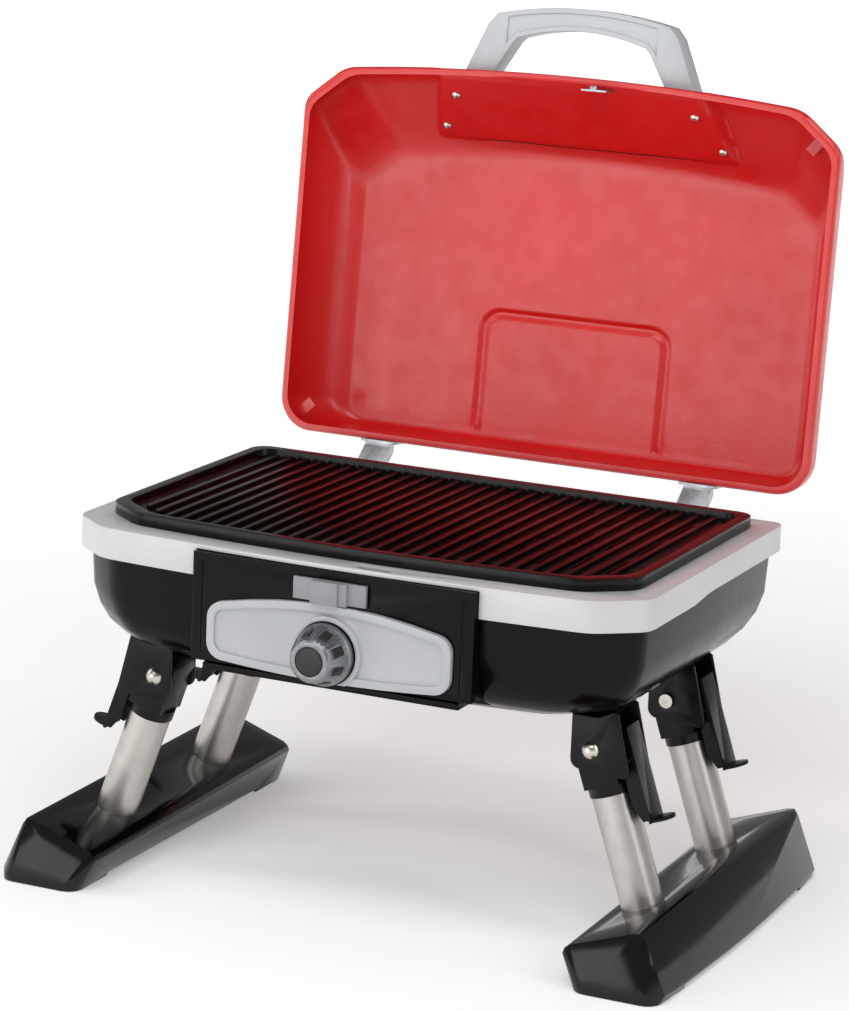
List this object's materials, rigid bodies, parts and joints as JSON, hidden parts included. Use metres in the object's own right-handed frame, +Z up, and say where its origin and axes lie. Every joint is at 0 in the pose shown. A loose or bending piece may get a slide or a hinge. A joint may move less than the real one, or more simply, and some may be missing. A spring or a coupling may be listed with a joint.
{
  "type": "portable tabletop gas grill",
  "caption": "Briefcase-style portable gas grill with hinged lid, lift-off cooking plate and fold-under leg frames.",
  "frame": {"origin": "on the table, under the middle of the open grill's overall box", "axes": "+Z up; the control panel faces -Y; +X to the right when looking at the control panel"},
  "size_m": [0.512, 0.4588, 0.605],
  "materials": {
    "firebox_enamel": "gloss",
    "trim_paint": "satin",
    "housing_enamel": "gloss",
    "panel_paint": "satin",
    "latch_plastic": "satin",
    "zinc_steel": "satin",
    "burner_steel": "heat stained",
    "valve_brass": "machined",
    "ceramic": "glazed",
    "bracket_paint": "satin",
    "bolt_steel": "domed, polished",
    "plate_enamel": "gloss",
    "tray_steel": "satin",
    "knob_silver": "satin",
    "knob_dark": "satin",
    "lid_red": "satin, orange peel",
    "handle_base": "satin",
    "handle_grey": "satin",
    "foot_plastic": "gloss",
    "tube_aluminium": "satin anodised",
    "fitting_plastic": "satin"
  },
  "bodies": {
    "base": {"firebox": "firebox_enamel", "trim_band": "trim_paint", "control_housing": "housing_enamel", "control_plate": "panel_paint", "latch_guide": "zinc_steel", "burner_tube": "burner_steel", "burner_supports": "burner_steel", "venturi": "burner_steel", "gas_valve": "valve_brass", "valve_bracket": "zinc_steel", "inlet_pipe": "valve_brass", "gas_inlet": "valve_brass", "igniter_electrode": "ceramic", "tray_rails": "zinc_steel", "bracket_front_left": "bracket_paint", "bracket_rear_left": "bracket_paint", "bracket_front_right": "bracket_paint", "bracket_rear_right": "bracket_paint", "bracket_rivets": "zinc_steel", "leg_bolts": "bolt_steel", "hinge_brackets": "zinc_steel", "hinge_pins": "bolt_steel", "hinge_screws": "bolt_steel"},
    "plate": {"cooking_plate": "plate_enamel"},
    "tray": {"drip_tray": "tray_steel"},
    "latch": {"latch_slider": "latch_plastic"},
    "stem_seat": {"stem_collar": "zinc_steel", "stem_spring": "bolt_steel"},
    "knob": {"valve_stem": "bolt_steel", "knob_body": "knob_silver", "knob_cap": "knob_dark", "knob_inlays": "knob_dark"},
    "lid": {"lid_shell": "lid_red", "lid_tabs": "lid_red", "lid_catch": "zinc_steel", "catch_rivets": "bolt_steel", "handle_plate": "handle_base", "handle": "handle_grey", "handle_screws": "bolt_steel", "hinge_leaves": "zinc_steel", "leaf_rivets": "bolt_steel"},
    "leg_left": {"foot_left": "foot_plastic", "tube_front_left": "tube_aluminium", "tube_rear_left": "tube_aluminium", "fitting_front_left": "fitting_plastic", "fitting_rear_left": "fitting_plastic", "lever_pins_left": "bolt_steel"},
    "leg_right": {"foot_right": "foot_plastic", "tube_front_right": "tube_aluminium", "tube_rear_right": "tube_aluminium", "fitting_front_right": "fitting_plastic", "fitting_rear_right": "fitting_plastic", "lever_pins_right": "bolt_steel"},
    "lever_front_left": {"lever_front_left": "fitting_plastic"},
    "lever_rear_left": {"lever_rear_left": "fitting_plastic"},
    "lever_front_right": {"lever_front_right": "fitting_plastic"},
    "lever_rear_right": {"lever_rear_right": "fitting_plastic"}
  },
  "joints": [
    {"name": "lid_hinge", "type": "hinge", "parent": "base", "child": "lid", "pos_m": [0, 0.12219, 0.244], "axis": [-1, 0, 0], "range_deg": [-96, 0]},
    {"name": "right_leg_fold", "type": "hinge", "parent": "base", "child": "leg_right", "pos_m": [0.167, -0.04581, 0.145], "axis": [0, -1, 0], "range_deg": [-100, 0]},
    {"name": "left_leg_fold", "type": "hinge", "parent": "base", "child": "leg_left", "pos_m": [-0.167, -0.04581, 0.145], "axis": [0, 1, 0], "range_deg": [-100, 0]},
    {"name": "front_left_lever", "type": "hinge", "parent": "leg_left", "child": "lever_front_left", "pos_m": [-0.19081, -0.11731, 0.13945], "axis": [0, 1, 0], "range_deg": [0, 8], "stiffness_Nm_per_rad": 0.25},
    {"name": "rear_left_lever", "type": "hinge", "parent": "leg_left", "child": "lever_rear_left", "pos_m": [-0.19081, 0.02569, 0.13945], "axis": [0, 1, 0], "range_deg": [0, 8], "stiffness_Nm_per_rad": 0.25},
    {"name": "front_right_lever", "type": "hinge", "parent": "leg_right", "child": "lever_front_right", "pos_m": [0.19081, -0.11731, 0.13945], "axis": [0, -1, 0], "range_deg": [0, 8], "stiffness_Nm_per_rad": 0.25},
    {"name": "rear_right_lever", "type": "hinge", "parent": "leg_right", "child": "lever_rear_right", "pos_m": [0.19081, 0.02569, 0.13945], "axis": [0, -1, 0], "range_deg": [0, 8], "stiffness_Nm_per_rad": 0.25},
    {"name": "latch_slide", "type": "slide", "parent": "base", "child": "latch", "axis": [1, 0, 0], "range_m": [0, 0.007]},
    {"name": "valve_push", "type": "slide", "parent": "base", "child": "stem_seat", "axis": [0, 1, 0], "range_m": [0, 0.0025], "stiffness_N_per_m": 1500},
    {"name": "knob_turn", "type": "hinge", "parent": "stem_seat", "child": "knob", "pos_m": [0, -0.19581, 0.203], "axis": [0, -1, 0], "range_deg": [0, 180]},
    {"name": "plate_lift", "type": "slide", "parent": "base", "child": "plate", "axis": [0, 0, 1], "range_m": [0, 0.12]},
    {"name": "tray_slide", "type": "slide", "parent": "base", "child": "tray", "axis": [0, 1, 0], "range_m": [0, 0.15]}
  ]
}
